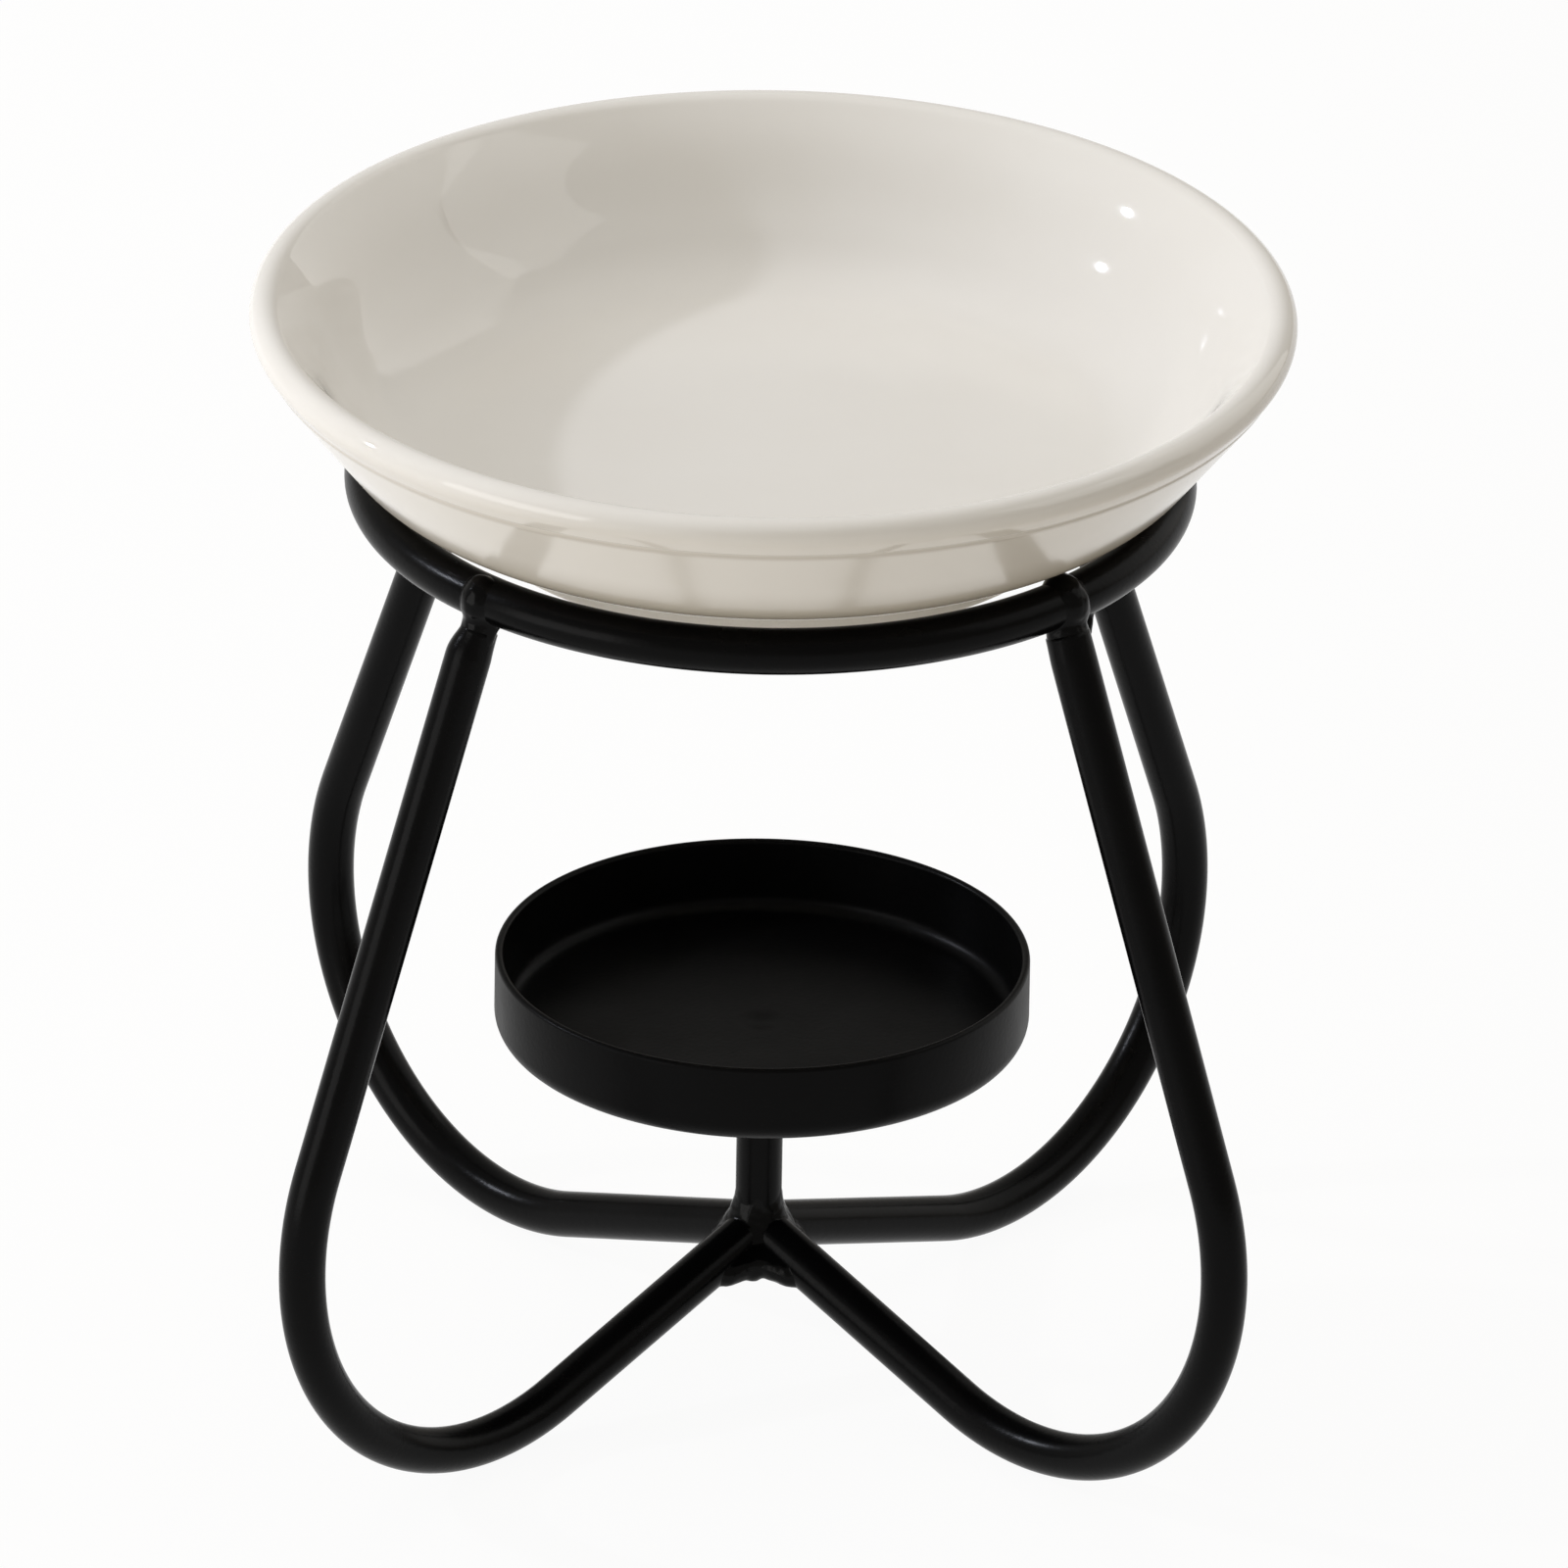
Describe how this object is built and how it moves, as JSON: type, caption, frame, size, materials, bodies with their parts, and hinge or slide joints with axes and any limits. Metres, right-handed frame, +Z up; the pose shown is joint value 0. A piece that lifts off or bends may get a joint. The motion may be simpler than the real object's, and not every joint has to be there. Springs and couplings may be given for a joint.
{
  "type": "essential oil burner",
  "caption": "Essential oil burner: a shallow glazed dish lifts off a welded stand of bent steel rod, with a candle cup on a short post under it.",
  "frame": {"origin": "on the floor under the axis of the ring, the dish and the candle cup", "axes": "+Z up, the front of the stand faces -Y, +X to the right of someone facing it"},
  "size_m": [0.112, 0.112, 0.1239],
  "materials": {
    "glaze": "gloss",
    "black_coat": "satin"
  },
  "bodies": {
    "stand": {"support_ring": "black_coat", "leg_front_left": "black_coat", "leg_front_right": "black_coat", "leg_back_left": "black_coat", "leg_back_right": "black_coat", "candle_post": "black_coat", "candle_cup": "black_coat", "ring_weld_front_left": "black_coat", "ring_weld_front_right": "black_coat", "ring_weld_back_left": "black_coat", "ring_weld_back_right": "black_coat", "hub_weld": "black_coat", "cup_weld": "black_coat"},
    "dish": {"dish": "glaze"}
  },
  "joints": [
    {"name": "dish_lift", "type": "slide", "parent": "stand", "child": "dish", "axis": [0, 0, 1], "range_m": [0, 0.05]}
  ]
}
